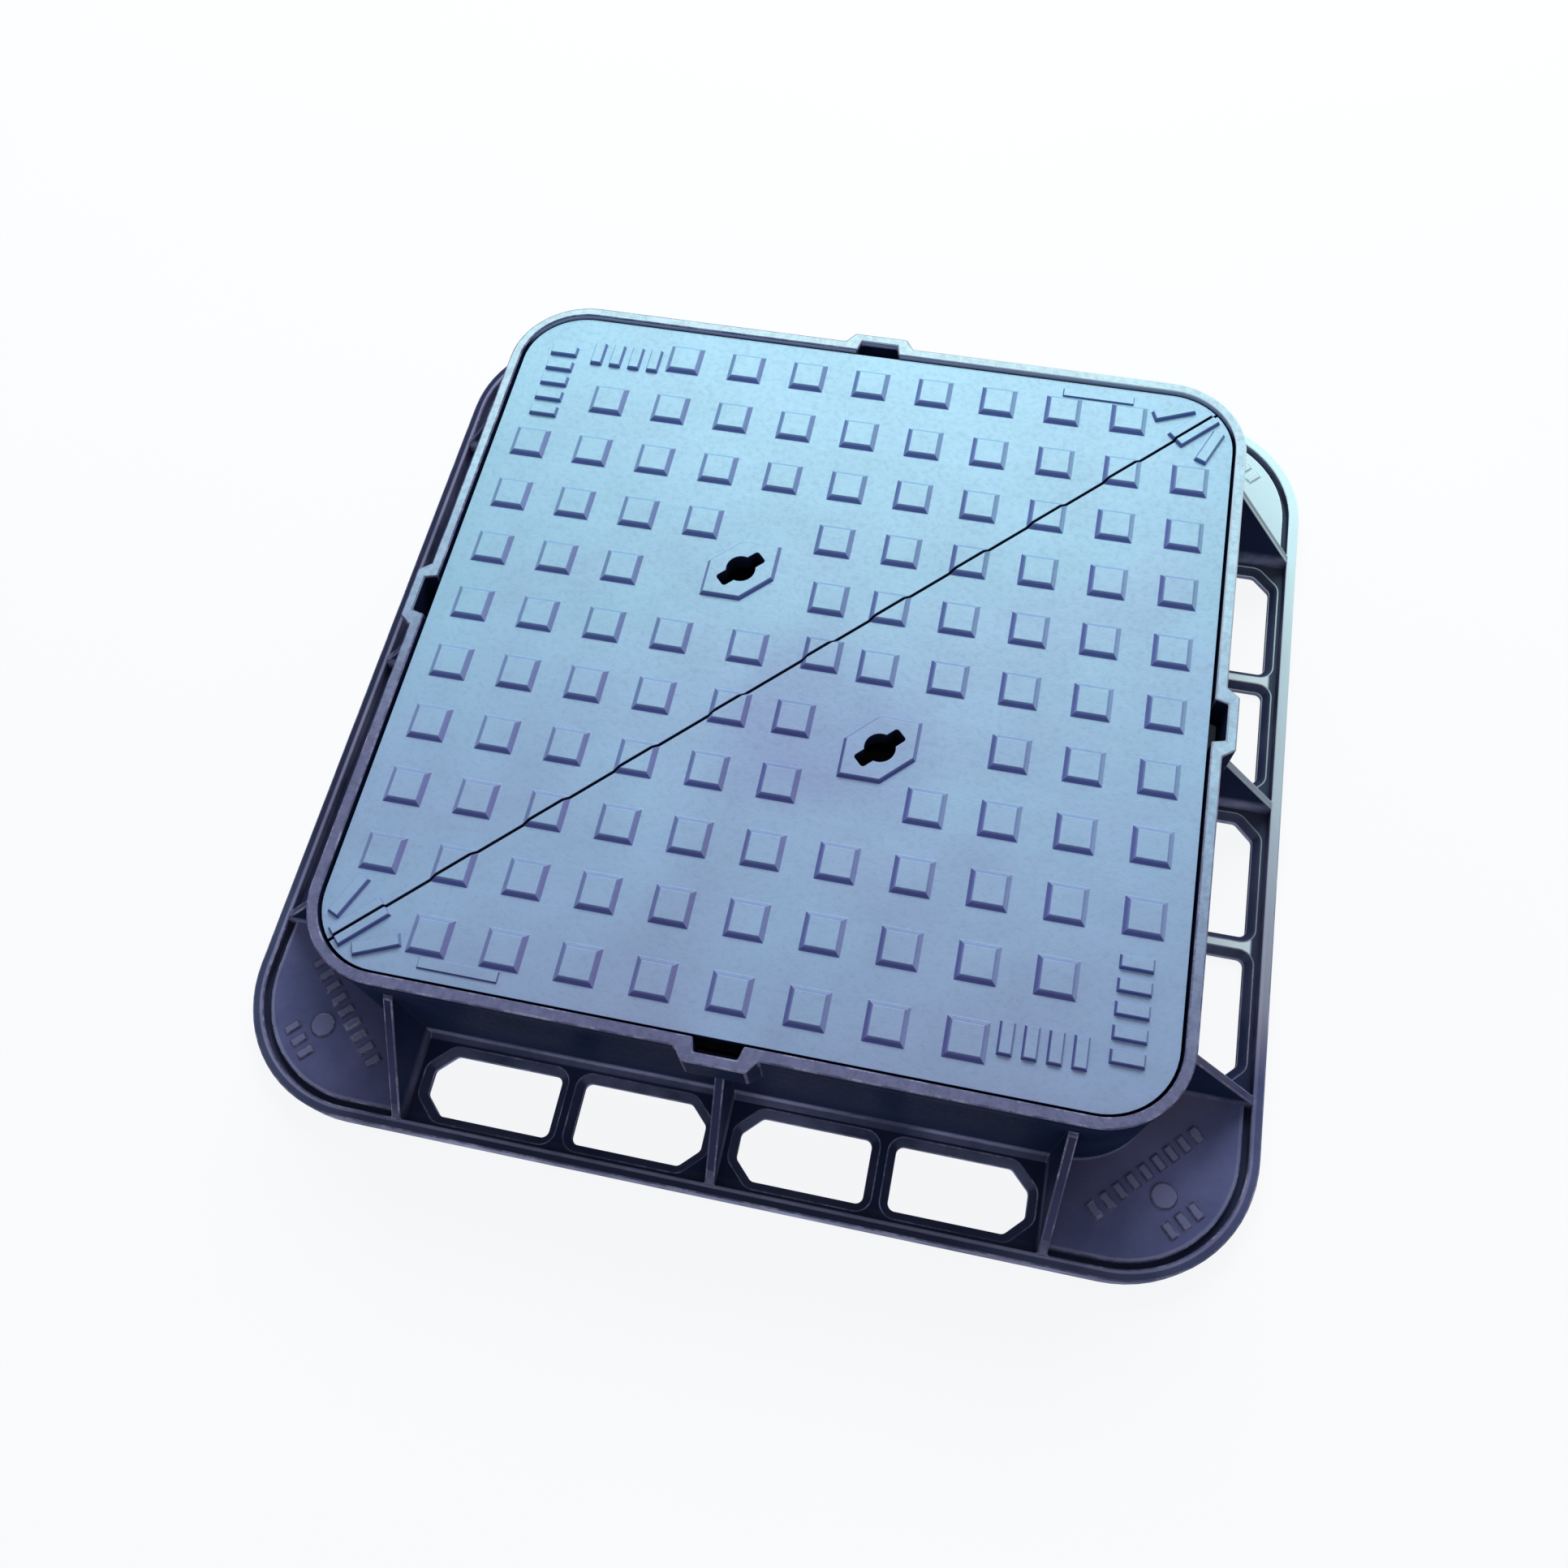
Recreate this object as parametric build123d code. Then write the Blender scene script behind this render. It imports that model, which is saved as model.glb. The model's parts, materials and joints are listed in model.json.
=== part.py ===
from build123d import *
import os
from math import atan, degrees

# Double-triangular manhole cover and frame in ductile iron, clear opening 600 x 600 mm.
#
# Origin at the centre of the frame's underside, +Z up, +X and +Y square to the frame's sides.
# The split between the two cover halves runs from the (-X, -Y) corner to the (+X, +Y) corner.
# The left half lies on the (-X, +Y) side, the right half on the (+X, -Y) side.

# ------------------------------------------------------------------ driving dimensions, mm
FRAME_HEIGHT = 150.0
SIDES = 4
SPLIT_TURN = 45.0           # turns local X onto the split, local +Y onto the left half
OVERLAP = 1.0               # joined solids run into each other, and cutters past faces, by this

# frame: bedding flange
BASE_HALF = 410.0
BASE_RADIUS = 109.0
FLANGE_TOP = 11.0
RIM_WIDTH = 9.0
RIM_TOP = 21.0
PAD_HALF = 396.0
PAD_RADIUS = 94.0
PAD_TOP = 18.0
PAD_START = 256.0           # the corner pads begin at the outer gussets

# frame: mortar windows through the flange, four per side
WINDOW_NEAR = 341.5
WINDOW_FAR = 391.0
WINDOW_SPANS = ((14.5, 117.5), (137.0, 242.0))
WINDOW_CUT = 15.0           # 45 degree cut across the two corners nearest a gusset
WINDOW_RADIUS = 6.0
WINDOW_BEVEL = 6.5
WINDOW_BEVEL_DEPTH = 6.0

# frame: wall, ring and pocket
WALL_HALF = 328.0
WALL_RADIUS = 66.0
FOOT_WIDTH = 5.0
RING_HALF = 330.0
RING_RADIUS = 68.0
RING_BOTTOM = 134.0
RING_CHAMFER = 3.2
POCKET_HALF = 321.0
POCKET_RADIUS = 57.0

# frame: seat ledge and its three-point pads for each half
CLEAR_HALF = 300.0
CLEAR_RADIUS = 36.0
LEDGE_BOTTOM = 68.0
LEDGE_TOP = 82.0
SEAT_TOP = 85.0
SEAT_OUT = 320.0
SEAT_IN = 304.0
SEAT_START = 215.0
SEAT_SPLIT_GAP = 18.0

# frame: stiffening gussets outside and ledge brackets inside
GUSSET_THICKNESS = 7.5
GUSSET_TOP = 118.0
GUSSET_SHOULDER = 3.0       # width of the gusset's top beyond the wall
MID_GUSSET_TOP = 104.0
MID_GUSSET_SHOULDER = 5.0
GUSSET_FOOT = 402.0
GUSSET_ROOT = 3.0           # how far the gussets run into the wall
BRACKET_THICKNESS = 9.0
BRACKET_BOTTOM = 38.0
BRACKET_NOSE = 4.0          # height of the bracket's inner end below the ledge
BRACKET_SETBACK = 2.0       # of the inner end from the clear opening
BRACKET_PLACES = (-170.0, 0.0, 170.0)

# frame: lever pockets at the middle of each side
LUG_ROOT_HALF_WIDTH = 31.5
LUG_HEAD_HALF_WIDTH = 23.5
LUG_OUT = 340.0
LUG_BOTTOM = 98.0
LUG_SHOULDER = 116.0
LEVER_MOUTH_HALF = 19.0
LEVER_BACK_HALF = 16.0
LEVER_OUT = 331.5
LEVER_BOTTOM = 112.0

# cover: plate and raised pattern
COVER_HALF = 318.8
COVER_RADIUS = 54.8
PLATE_BOTTOM = 134.0
FIELD_TOP = 146.5
RAISED_HEIGHT = FRAME_HEIGHT - FIELD_TOP
STUD_BASE = 31.0
STUD_TOP = 22.7
STUD_PITCH = 57.0
STUD_CENTRE = 6             # row and column number of the middle stud
SPLIT_GAP = 2.2
STUD_DRAFT = degrees(atan((STUD_BASE - STUD_TOP) / 2 / RAISED_HEIGHT))
BOSS_DRAFT = 35.0
MARK_DRAFT = 20.0

# which columns carry a stud, for each row from +Y to -Y
STUD_ROWS = {
    1: range(3, 11),
    2: range(2, 12),
    3: range(1, 12),
    4: (1, 2, 3, 4, 6, 7, 8, 9, 10, 11),
    5: (1, 2, 3, 6, 7, 8, 9, 10, 11),
    6: range(1, 12),
    7: (1, 2, 3, 4, 5, 6, 9, 10, 11),
    8: (1, 2, 3, 4, 5, 6, 8, 9, 10, 11),
    9: range(1, 12),
    10: range(1, 11),
    11: range(2, 10),
}
# studs near the middle that stand a little off the grid, to meet the split well
STUD_SHIFTS = {(6, 6): (11.0, 4.0), (5, 6): (6.0, 0.0), (6, 5): (7.0, 0.0), (7, 5): (5.0, 0.0)}

# cover: keyholes, each in a raised six-sided boss
KEY_OFFSET = 71.5           # of each keyhole from the two centre lines
KEY_ROUND_RADIUS = 12.25
KEY_SLOT_LENGTH = 42.0
KEY_SLOT_WIDTH = 12.0
KEY_SLOT_CORNER = 2.5
BOSS_HALF = 29.0
BOSS_CUT = 24.0

# cover: plain relief that stands where a foundry puts its marks
ARROW_SHAFT = (18.0, 44.0)
ARROW_SHAFT_AT = 402.0      # distance of the shaft's middle from the centre, along the split
ARROW_BARB = (11.0, 37.0)
ARROW_BARB_AT = (266.0, 299.0)
ARROW_BARB_TURN = 23.0
MARK_BLOCK = (11.0, 25.0)
MARK_STEP = 17.5
MARK_ROW_START = (-251.0, 279.0)
MARK_ROW_COUNT = 4
MARK_COLUMN_START = (-283.0, 207.0)
MARK_COLUMN_COUNT = 5
MAKER_BAR = (62.0, 9.0)
MAKER_BAR_AT = (-200.0, -306.0)
MAKER_BAR_HEIGHT = 1.5

# cover: underside
SKIRT_HALF = 315.5
SKIRT_RADIUS = 51.5
SKIRT_WIDTH = 9.0
WEB_SETBACK = 3.5           # of the split web's face from the split's middle plane
WEB_THICKNESS = 12.0
WEB_BOTTOM = 60.0
WEB_FLAT = 200.0
WEB_RISE = 372.0
WEB_REACH = 472.0
RIB_THICKNESS = 8.0
RIB_BOTTOM = 92.0
CROSS_RIBS = (-320.0, -195.0, -62.0, 62.0, 195.0, 320.0)
LONG_RIB_AT = 205.0
LEVER_NOTCH_HALF = 24.0
LEVER_NOTCH_BOTTOM = 98.0

# key cups under the keyholes
CUP_RADIUS = 27.5
CUP_WALL = 2.5
CUP_DEPTH = 42.0
COLLAR_CLEARANCE = 0.2
COLLAR_RADIUS = 34.0
COLLAR_DEPTH = 18.0

# coupling bolts through the two split webs
BOLT_HEIGHT = 97.0
BOLT_PLACES = (-130.0, 130.0)
BOLT_RADIUS = 8.0
BOLT_TIP = 37.0
FIXED_HOLE_RADIUS = 8.75
LOOSE_HOLE_RADIUS = 10.0
HEX_ACROSS_FLATS = 24.0
HEAD_THICKNESS = 10.0
NUT_THICKNESS = 13.0
WASHER_RADIUS = 15.0
WASHER_HOLE_RADIUS = 8.75
WASHER_THICKNESS = 3.0
THREAD_CLEARANCE = 0.05
COUPLING_PLAY = 1.5
TIP_CHAMFER = 1.2

# frame: plain relief on the corner pads
PAD_BOSS_RADIUS = 10.0
PAD_BOSS_AT = 341.0
PAD_RELIEF = 1.6
PAD_BLOCK = (7.0, 13.0)
PAD_BLOCK_STEP = 12.5
PAD_ROW_IN = 461.0          # distance of the inner row from the centre, along the corner
PAD_ROW_IN_COUNT = 9
PAD_ROW_OUT = 504.0
PAD_ROW_OUT_COUNT = 3


# ------------------------------------------------------------------ helpers
def rounded_square(half, radius):
    return RectangleRounded(2 * half, 2 * half, radius)


def band(half, radius, width):
    return rounded_square(half, radius) - rounded_square(half - width, radius - width)


def prism(sketch, low, high):
    return extrude(Pos(0, 0, low) * sketch, amount=high - low)


def on_each_side(solid):
    return [Rot(0, 0, 90 * turn) * solid for turn in range(SIDES)]


def upright_plate(points, thickness):
    """A plate standing on the XZ plane's outline, centred on Y = 0."""
    outline = Plane.XZ * Polygon(*points, align=None)
    return extrude(outline, amount=thickness / 2, both=True)


def raised(sketch, draft=MARK_DRAFT, height=RAISED_HEIGHT):
    """Relief on the cover's field, with casting draft."""
    return extrude(Pos(0, 0, FIELD_TOP) * sketch, amount=height, taper=draft)


def across_split(solid):
    """Places a solid made along local X and +Y on the split and the left half."""
    return Rot(0, 0, SPLIT_TURN) * solid


# ------------------------------------------------------------------ frame
def flange():
    plate = prism(rounded_square(BASE_HALF, BASE_RADIUS), 0, FLANGE_TOP)
    rim = prism(band(BASE_HALF, BASE_RADIUS, RIM_WIDTH), 0, RIM_TOP)
    return plate + rim


def corner_pad():
    size = BASE_HALF - PAD_START
    centre = PAD_START + size / 2
    area = rounded_square(PAD_HALF, PAD_RADIUS) & Pos(centre, centre) * Rectangle(size, size)
    pad = prism(area, 0, PAD_TOP)
    boss = Pos(PAD_BOSS_AT, PAD_BOSS_AT) * Circle(PAD_BOSS_RADIUS)
    relief = [prism(boss, PAD_TOP, PAD_TOP + PAD_RELIEF)]
    for distance, count in ((PAD_ROW_IN, PAD_ROW_IN_COUNT), (PAD_ROW_OUT, PAD_ROW_OUT_COUNT)):
        for index in range(count):
            along = (index - (count - 1) / 2) * PAD_BLOCK_STEP
            block = Rot(0, 0, SPLIT_TURN) * Pos(distance, along) * Rectangle(*PAD_BLOCK[::-1])
            relief.append(prism(block, PAD_TOP, PAD_TOP + PAD_RELIEF))
    return pad + relief


def window(start, end, cut_end_first):
    """One mortar window on the +X side, as a cutter with a bevelled top."""
    outline = Rectangle(WINDOW_FAR - WINDOW_NEAR, end - start)
    corners = outline.vertices().sort_by(Axis.Y)
    outline = chamfer(corners[:2] if cut_end_first else corners[2:], WINDOW_CUT)
    outline = fillet(outline.vertices(), WINDOW_RADIUS)
    outline = Pos((WINDOW_NEAR + WINDOW_FAR) / 2, (start + end) / 2) * outline
    through = prism(outline, -OVERLAP, FLANGE_TOP + OVERLAP)
    bevel_angle = degrees(atan(WINDOW_BEVEL / WINDOW_BEVEL_DEPTH))
    bevel_start = Pos(0, 0, FLANGE_TOP - WINDOW_BEVEL_DEPTH) * outline
    return through + extrude(bevel_start, amount=WINDOW_BEVEL_DEPTH, taper=-bevel_angle)


def windows():
    cutters = []
    for start, end in WINDOW_SPANS:
        beside_mid_gusset = (start, end) == WINDOW_SPANS[0]
        cutter = window(start, end, beside_mid_gusset)
        cutters = cutters + [cutter, mirror(cutter, about=Plane.XZ)]
    return [placed for cutter in cutters for placed in on_each_side(cutter)]


def wall():
    body = prism(rounded_square(WALL_HALF, WALL_RADIUS), 0, FRAME_HEIGHT)
    foot_sketch = rounded_square(WALL_HALF + FOOT_WIDTH, WALL_RADIUS + FOOT_WIDTH)
    foot = extrude(Pos(0, 0, FLANGE_TOP) * foot_sketch, amount=FOOT_WIDTH, taper=45)
    ring = prism(rounded_square(RING_HALF, RING_RADIUS), RING_BOTTOM, FRAME_HEIGHT)
    ring = chamfer(ring.faces().sort_by(Axis.Z)[0].edges(), RING_CHAMFER)
    return [body, foot, ring]


def lug():
    root = RING_HALF - OVERLAP
    plan = Polygon((POCKET_HALF, -LUG_ROOT_HALF_WIDTH), (root, -LUG_ROOT_HALF_WIDTH),
                   (LUG_OUT, -LUG_HEAD_HALF_WIDTH), (LUG_OUT, LUG_HEAD_HALF_WIDTH),
                   (root, LUG_ROOT_HALF_WIDTH), (POCKET_HALF, LUG_ROOT_HALF_WIDTH), align=None)
    side = upright_plate([(POCKET_HALF, FRAME_HEIGHT), (LUG_OUT, FRAME_HEIGHT),
                          (LUG_OUT, LUG_SHOULDER), (WALL_HALF - OVERLAP, LUG_BOTTOM),
                          (POCKET_HALF, LUG_BOTTOM)], 2 * LUG_ROOT_HALF_WIDTH)
    return prism(plan, LUG_BOTTOM, FRAME_HEIGHT) & side


def lever_pocket():
    mouth = POCKET_HALF - OVERLAP
    plan = Polygon((mouth, -LEVER_MOUTH_HALF), (LEVER_OUT, -LEVER_BACK_HALF),
                   (LEVER_OUT, LEVER_BACK_HALF), (mouth, LEVER_MOUTH_HALF), align=None)
    return prism(plan, LEVER_BOTTOM, FRAME_HEIGHT + OVERLAP)


def gussets():
    """The mid-side gusset and the two beside the corner pads, on the +X side."""
    root = WALL_HALF - GUSSET_ROOT
    low = FLANGE_TOP - OVERLAP
    foot = [(root, low), (GUSSET_FOOT, low), (GUSSET_FOOT, RIM_TOP)]
    outer = upright_plate(foot + [(WALL_HALF + GUSSET_SHOULDER, GUSSET_TOP), (root, GUSSET_TOP)],
                          GUSSET_THICKNESS)
    middle = upright_plate(foot + [(WALL_HALF + MID_GUSSET_SHOULDER, MID_GUSSET_TOP),
                                   (root, MID_GUSSET_TOP)], GUSSET_THICKNESS)
    return [middle, Pos(0, PAD_START, 0) * outer, Pos(0, -PAD_START, 0) * outer]


def ledge():
    outer = rounded_square(POCKET_HALF + OVERLAP, POCKET_RADIUS + OVERLAP)
    return prism(outer - rounded_square(CLEAR_HALF, CLEAR_RADIUS), LEDGE_BOTTOM, LEDGE_TOP)


def bracket():
    root, nose = POCKET_HALF + OVERLAP, CLEAR_HALF + BRACKET_SETBACK
    top = LEDGE_BOTTOM + OVERLAP
    return upright_plate([(root, top), (nose, top), (nose, LEDGE_BOTTOM - BRACKET_NOSE),
                          (root, BRACKET_BOTTOM)], BRACKET_THICKNESS)


def seat_pads():
    """Three seats for each half: its square corner and its two ends at the split."""
    size = BASE_HALF - SEAT_START
    centre = SEAT_START + size / 2
    edge = band(SEAT_OUT, SEAT_OUT - (POCKET_HALF - POCKET_RADIUS), SEAT_OUT - SEAT_IN)
    corner = edge & Pos(centre, centre) * Rectangle(size, size)
    split_strip = Rot(0, 0, SPLIT_TURN) * Rectangle(4 * BASE_HALF, SEAT_SPLIT_GAP)
    pads = []
    for turn in range(SIDES):
        area = Rot(0, 0, 90 * turn) * corner
        area = area - split_strip if turn % 2 == 0 else area
        pads.append(prism(area, LEDGE_TOP - OVERLAP, SEAT_TOP))
    return pads


def frame():
    body = flange() + wall() + on_each_side(corner_pad()) + on_each_side(lug())
    body = body + [placed for gusset in gussets() for placed in on_each_side(gusset)]
    body = body - prism(rounded_square(POCKET_HALF, POCKET_RADIUS), -OVERLAP, FRAME_HEIGHT + OVERLAP)
    body = body - (windows() + on_each_side(lever_pocket()))
    brackets = [placed for y in BRACKET_PLACES for placed in on_each_side(Pos(0, y, 0) * bracket())]
    return body + ([ledge()] + brackets + seat_pads())


# ------------------------------------------------------------------ cover halves
def studs():
    stud = raised(Rectangle(STUD_BASE, STUD_BASE), draft=STUD_DRAFT)
    placed = []
    for row, columns in STUD_ROWS.items():
        for column in columns:
            shift_x, shift_y = STUD_SHIFTS.get((row, column), (0.0, 0.0))
            x = (column - STUD_CENTRE) * STUD_PITCH + shift_x
            y = (STUD_CENTRE - row) * STUD_PITCH + shift_y
            placed.append(Pos(x, y, 0) * stud)
    return placed


def key_boss():
    """Raised boss of the left half: a square with the two corners across the slot cut off."""
    cut = BOSS_HALF - BOSS_CUT
    outline = Polygon((BOSS_HALF, BOSS_HALF), (-cut, BOSS_HALF), (-BOSS_HALF, cut),
                      (-BOSS_HALF, -BOSS_HALF), (cut, -BOSS_HALF), (BOSS_HALF, -cut), align=None)
    return raised(Pos(-KEY_OFFSET, KEY_OFFSET) * outline, draft=BOSS_DRAFT)


def keyhole():
    slot = RectangleRounded(KEY_SLOT_LENGTH, KEY_SLOT_WIDTH, KEY_SLOT_CORNER)
    outline = Circle(KEY_ROUND_RADIUS) + Rot(0, 0, SPLIT_TURN) * slot
    return prism(Pos(-KEY_OFFSET, KEY_OFFSET) * outline, PLATE_BOTTOM - OVERLAP, FRAME_HEIGHT + OVERLAP)


def arrow():
    """Arrow at the (+X, +Y) end of the split: a shaft on the split and two barbs."""
    shaft = Pos(ARROW_SHAFT_AT, 0) * Rectangle(ARROW_SHAFT[1], ARROW_SHAFT[0])
    bar = Rectangle(ARROW_BARB[1], ARROW_BARB[0])
    barb = Pos(*ARROW_BARB_AT) * Rot(0, 0, ARROW_BARB_TURN) * bar
    other = Pos(*ARROW_BARB_AT[::-1]) * Rot(0, 0, 90 - ARROW_BARB_TURN) * bar
    return [raised(across_split(shaft)), raised(barb), raised(other)]


def plain_marks():
    """Rows of plain upright blocks, and a blank bar, in place of cast lettering."""
    placed = []
    for index in range(MARK_ROW_COUNT):
        x, y = MARK_ROW_START
        placed.append(raised(Pos(x + index * MARK_STEP, y) * Rectangle(*MARK_BLOCK)))
    for index in range(MARK_COLUMN_COUNT):
        x, y = MARK_COLUMN_START
        placed.append(raised(Pos(x, y + index * MARK_STEP) * Rectangle(*MARK_BLOCK[::-1])))
    placed.append(raised(Pos(*MAKER_BAR_AT) * Rectangle(*MAKER_BAR), height=MAKER_BAR_HEIGHT))
    return placed


def cover_top():
    """The whole cover's plate with its raised pattern, before it is split."""
    plate = prism(rounded_square(COVER_HALF, COVER_RADIUS), PLATE_BOTTOM, FIELD_TOP)
    relief = [key_boss()] + arrow() + plain_marks()
    relief = relief + [Rot(0, 0, 180) * solid for solid in relief]
    top = plate + (studs() + relief)
    return top - [keyhole(), Rot(0, 0, 180) * keyhole()]


def split_web():
    """Deep web along the split, lowest at mid-span."""
    web = upright_plate([(-WEB_REACH, PLATE_BOTTOM), (-WEB_REACH, SEAT_TOP), (-WEB_RISE, SEAT_TOP),
                         (-WEB_FLAT, WEB_BOTTOM), (WEB_FLAT, WEB_BOTTOM), (WEB_RISE, SEAT_TOP),
                         (WEB_REACH, SEAT_TOP), (WEB_REACH, PLATE_BOTTOM)], WEB_THICKNESS)
    return Pos(0, WEB_SETBACK + WEB_THICKNESS / 2, 0) * web


def ribs():
    reach = 2 * SKIRT_HALF
    height = PLATE_BOTTOM - RIB_BOTTOM
    middle = RIB_BOTTOM + height / 2
    cross = [Pos(s, WEB_SETBACK + reach / 2, middle) * Box(RIB_THICKNESS, reach, height) for s in CROSS_RIBS]
    return cross + [Pos(0, LONG_RIB_AT, middle) * Box(2 * reach, RIB_THICKNESS, height)]


def lever_notches():
    """Gaps in the skirt where a lever reaches under the plate."""
    depth = 4 * SKIRT_WIDTH
    height = PLATE_BOTTOM - LEVER_NOTCH_BOTTOM
    notch = Pos(SKIRT_HALF, 0, LEVER_NOTCH_BOTTOM + height / 2) * Box(depth, 2 * LEVER_NOTCH_HALF, height)
    return [Rot(0, 0, 90) * notch, Rot(0, 0, 180) * notch]


def collar():
    ring = Circle(COLLAR_RADIUS) - Circle(CUP_RADIUS + COLLAR_CLEARANCE)
    return prism(Pos(-KEY_OFFSET, KEY_OFFSET) * ring, PLATE_BOTTOM - COLLAR_DEPTH, PLATE_BOTTOM)


def half_space(low, high):
    """Everything on the left half's side of the split gap."""
    reach = 3 * COVER_HALF
    return prism(across_split(Pos(0, SPLIT_GAP / 2 + reach / 2) * Rectangle(2 * reach, reach)), low, high)


def underside(hole_radius):
    """Skirt, split web, ribs and collar, made for the left half."""
    skirt = prism(band(SKIRT_HALF, SKIRT_RADIUS, SKIRT_WIDTH), SEAT_TOP, PLATE_BOTTOM)
    body = skirt + [across_split(solid) for solid in [split_web()] + ribs()]
    low = WEB_BOTTOM - OVERLAP
    body = body & prism(rounded_square(SKIRT_HALF, SKIRT_RADIUS), low, PLATE_BOTTOM)
    body = body & half_space(low, PLATE_BOTTOM)
    hole_end = WEB_SETBACK + WEB_THICKNESS + OVERLAP
    holes = [across_split(bolt_cylinder(s, 0, hole_end, hole_radius)) for s in BOLT_PLACES]
    return (body - (lever_notches() + holes)) + [collar()]


def cover_halves():
    top = cover_top()
    left = (top & half_space(PLATE_BOTTOM, FRAME_HEIGHT)) + [underside(FIXED_HOLE_RADIUS)]
    turned_top = Rot(0, 0, 180) * top
    right = (turned_top & half_space(PLATE_BOTTOM, FRAME_HEIGHT)) + [underside(LOOSE_HOLE_RADIUS)]
    return left, Rot(0, 0, 180) * right


def key_cup():
    """Blind cup under the left keyhole, pushed into the cast collar."""
    outside = prism(Circle(CUP_RADIUS), PLATE_BOTTOM - CUP_DEPTH, PLATE_BOTTOM)
    inside = prism(Circle(CUP_RADIUS - CUP_WALL), PLATE_BOTTOM - CUP_DEPTH + CUP_WALL, PLATE_BOTTOM)
    return Pos(-KEY_OFFSET, KEY_OFFSET, 0) * (outside - inside)


# ------------------------------------------------------------------ coupling bolts
def bolt_cylinder(s, start, end, radius):
    """A cylinder across the split at distance s along it, from local Y start to end."""
    cylinder = Cylinder(radius, end - start, rotation=(90, 0, 0))
    return Pos(s, (start + end) / 2, BOLT_HEIGHT) * cylinder


def bolt_hexagon(s, start, end):
    hexagon = extrude(RegularPolygon(HEX_ACROSS_FLATS / 2, 6, major_radius=False), amount=end - start)
    return Pos(s, end, BOLT_HEIGHT) * Rot(90, 0, 0) * hexagon


def coupling(s):
    """Bolt, nut and two washers: head on the left half, nut on the right with play."""
    head_side = WEB_SETBACK + WEB_THICKNESS
    head_start = head_side + WASHER_THICKNESS
    nut_side = -(head_side + COUPLING_PLAY)
    nut_start = nut_side - WASHER_THICKNESS
    shank = bolt_cylinder(s, -BOLT_TIP, head_start + OVERLAP, BOLT_RADIUS)
    tip = shank.faces().sort_by(Axis.Y)[0].edges()
    bolt = chamfer(tip, TIP_CHAMFER) + bolt_hexagon(s, head_start, head_start + HEAD_THICKNESS)
    nut_end = nut_start - NUT_THICKNESS
    bore = bolt_cylinder(s, nut_end - OVERLAP, nut_start + OVERLAP, BOLT_RADIUS + THREAD_CLEARANCE)
    nut = bolt_hexagon(s, nut_end, nut_start) - bore
    hole = bolt_cylinder(s, -BOLT_TIP, BOLT_TIP, WASHER_HOLE_RADIUS)
    head_washer = bolt_cylinder(s, head_side, head_start, WASHER_RADIUS) - hole
    nut_washer = bolt_cylinder(s, nut_start, nut_side, WASHER_RADIUS) - hole
    return {"coupling_bolt": bolt, "coupling_nut": nut,
            "head_washer": head_washer, "nut_washer": nut_washer}


# ------------------------------------------------------------------ output
def build_nodes():
    left, right = cover_halves()
    nodes = {"frame": frame(), "cover_half_left": left, "cover_half_right": right,
             "key_cup_left": key_cup(), "key_cup_right": Rot(0, 0, 180) * key_cup()}
    for number, s in enumerate(BOLT_PLACES, start=1):
        for name, solid in coupling(s).items():
            nodes[f"{name}_{number}"] = across_split(solid)
    return nodes


os.makedirs("parts", exist_ok=True)
for node, shape in build_nodes().items():
    export_step(shape, f"parts/{node}.step")
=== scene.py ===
"""Looks for the double-triangular manhole cover: soft-edged castings, coated iron materials,
threaded coupling bolts, a pale floor, studio light and the camera."""

import json
import math

import bmesh
import bpy
from mathutils import Matrix, Vector


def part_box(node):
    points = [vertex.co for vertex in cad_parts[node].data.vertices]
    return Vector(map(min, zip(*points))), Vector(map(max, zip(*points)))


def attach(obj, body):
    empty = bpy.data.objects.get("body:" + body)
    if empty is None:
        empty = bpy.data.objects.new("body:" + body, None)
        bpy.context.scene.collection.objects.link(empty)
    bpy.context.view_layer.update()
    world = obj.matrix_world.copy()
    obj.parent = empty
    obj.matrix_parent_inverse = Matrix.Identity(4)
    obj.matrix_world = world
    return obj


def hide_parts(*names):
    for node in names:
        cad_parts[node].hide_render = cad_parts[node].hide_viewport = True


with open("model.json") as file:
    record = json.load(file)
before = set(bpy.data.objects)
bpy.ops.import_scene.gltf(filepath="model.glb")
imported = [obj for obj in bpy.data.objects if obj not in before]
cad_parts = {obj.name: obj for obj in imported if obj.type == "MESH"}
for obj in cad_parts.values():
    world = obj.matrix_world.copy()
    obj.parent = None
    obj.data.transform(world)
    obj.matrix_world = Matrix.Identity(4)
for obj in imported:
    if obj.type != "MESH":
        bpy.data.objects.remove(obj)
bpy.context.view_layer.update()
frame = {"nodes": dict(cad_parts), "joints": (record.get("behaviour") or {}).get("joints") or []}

# ------------------------------------------------------------------ named values, metres
MM = 0.001
FRAME_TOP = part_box("frame")[1].z
FIELD_TOP = FRAME_TOP - 3.5 * MM

# camera: aimed at a point on the cover, from the front and a little to the right
CAMERA_AIM = Vector((0.0043, -0.1147, FRAME_TOP - 0.0025))
CAMERA_DISTANCE = 1.0325
CAMERA_AZIMUTH = 16.82
CAMERA_ELEVATION = 64.83
CAMERA_ROLL = -5.53
CAMERA_LENS = 30.73
SENSOR_WIDTH = 36.0

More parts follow.
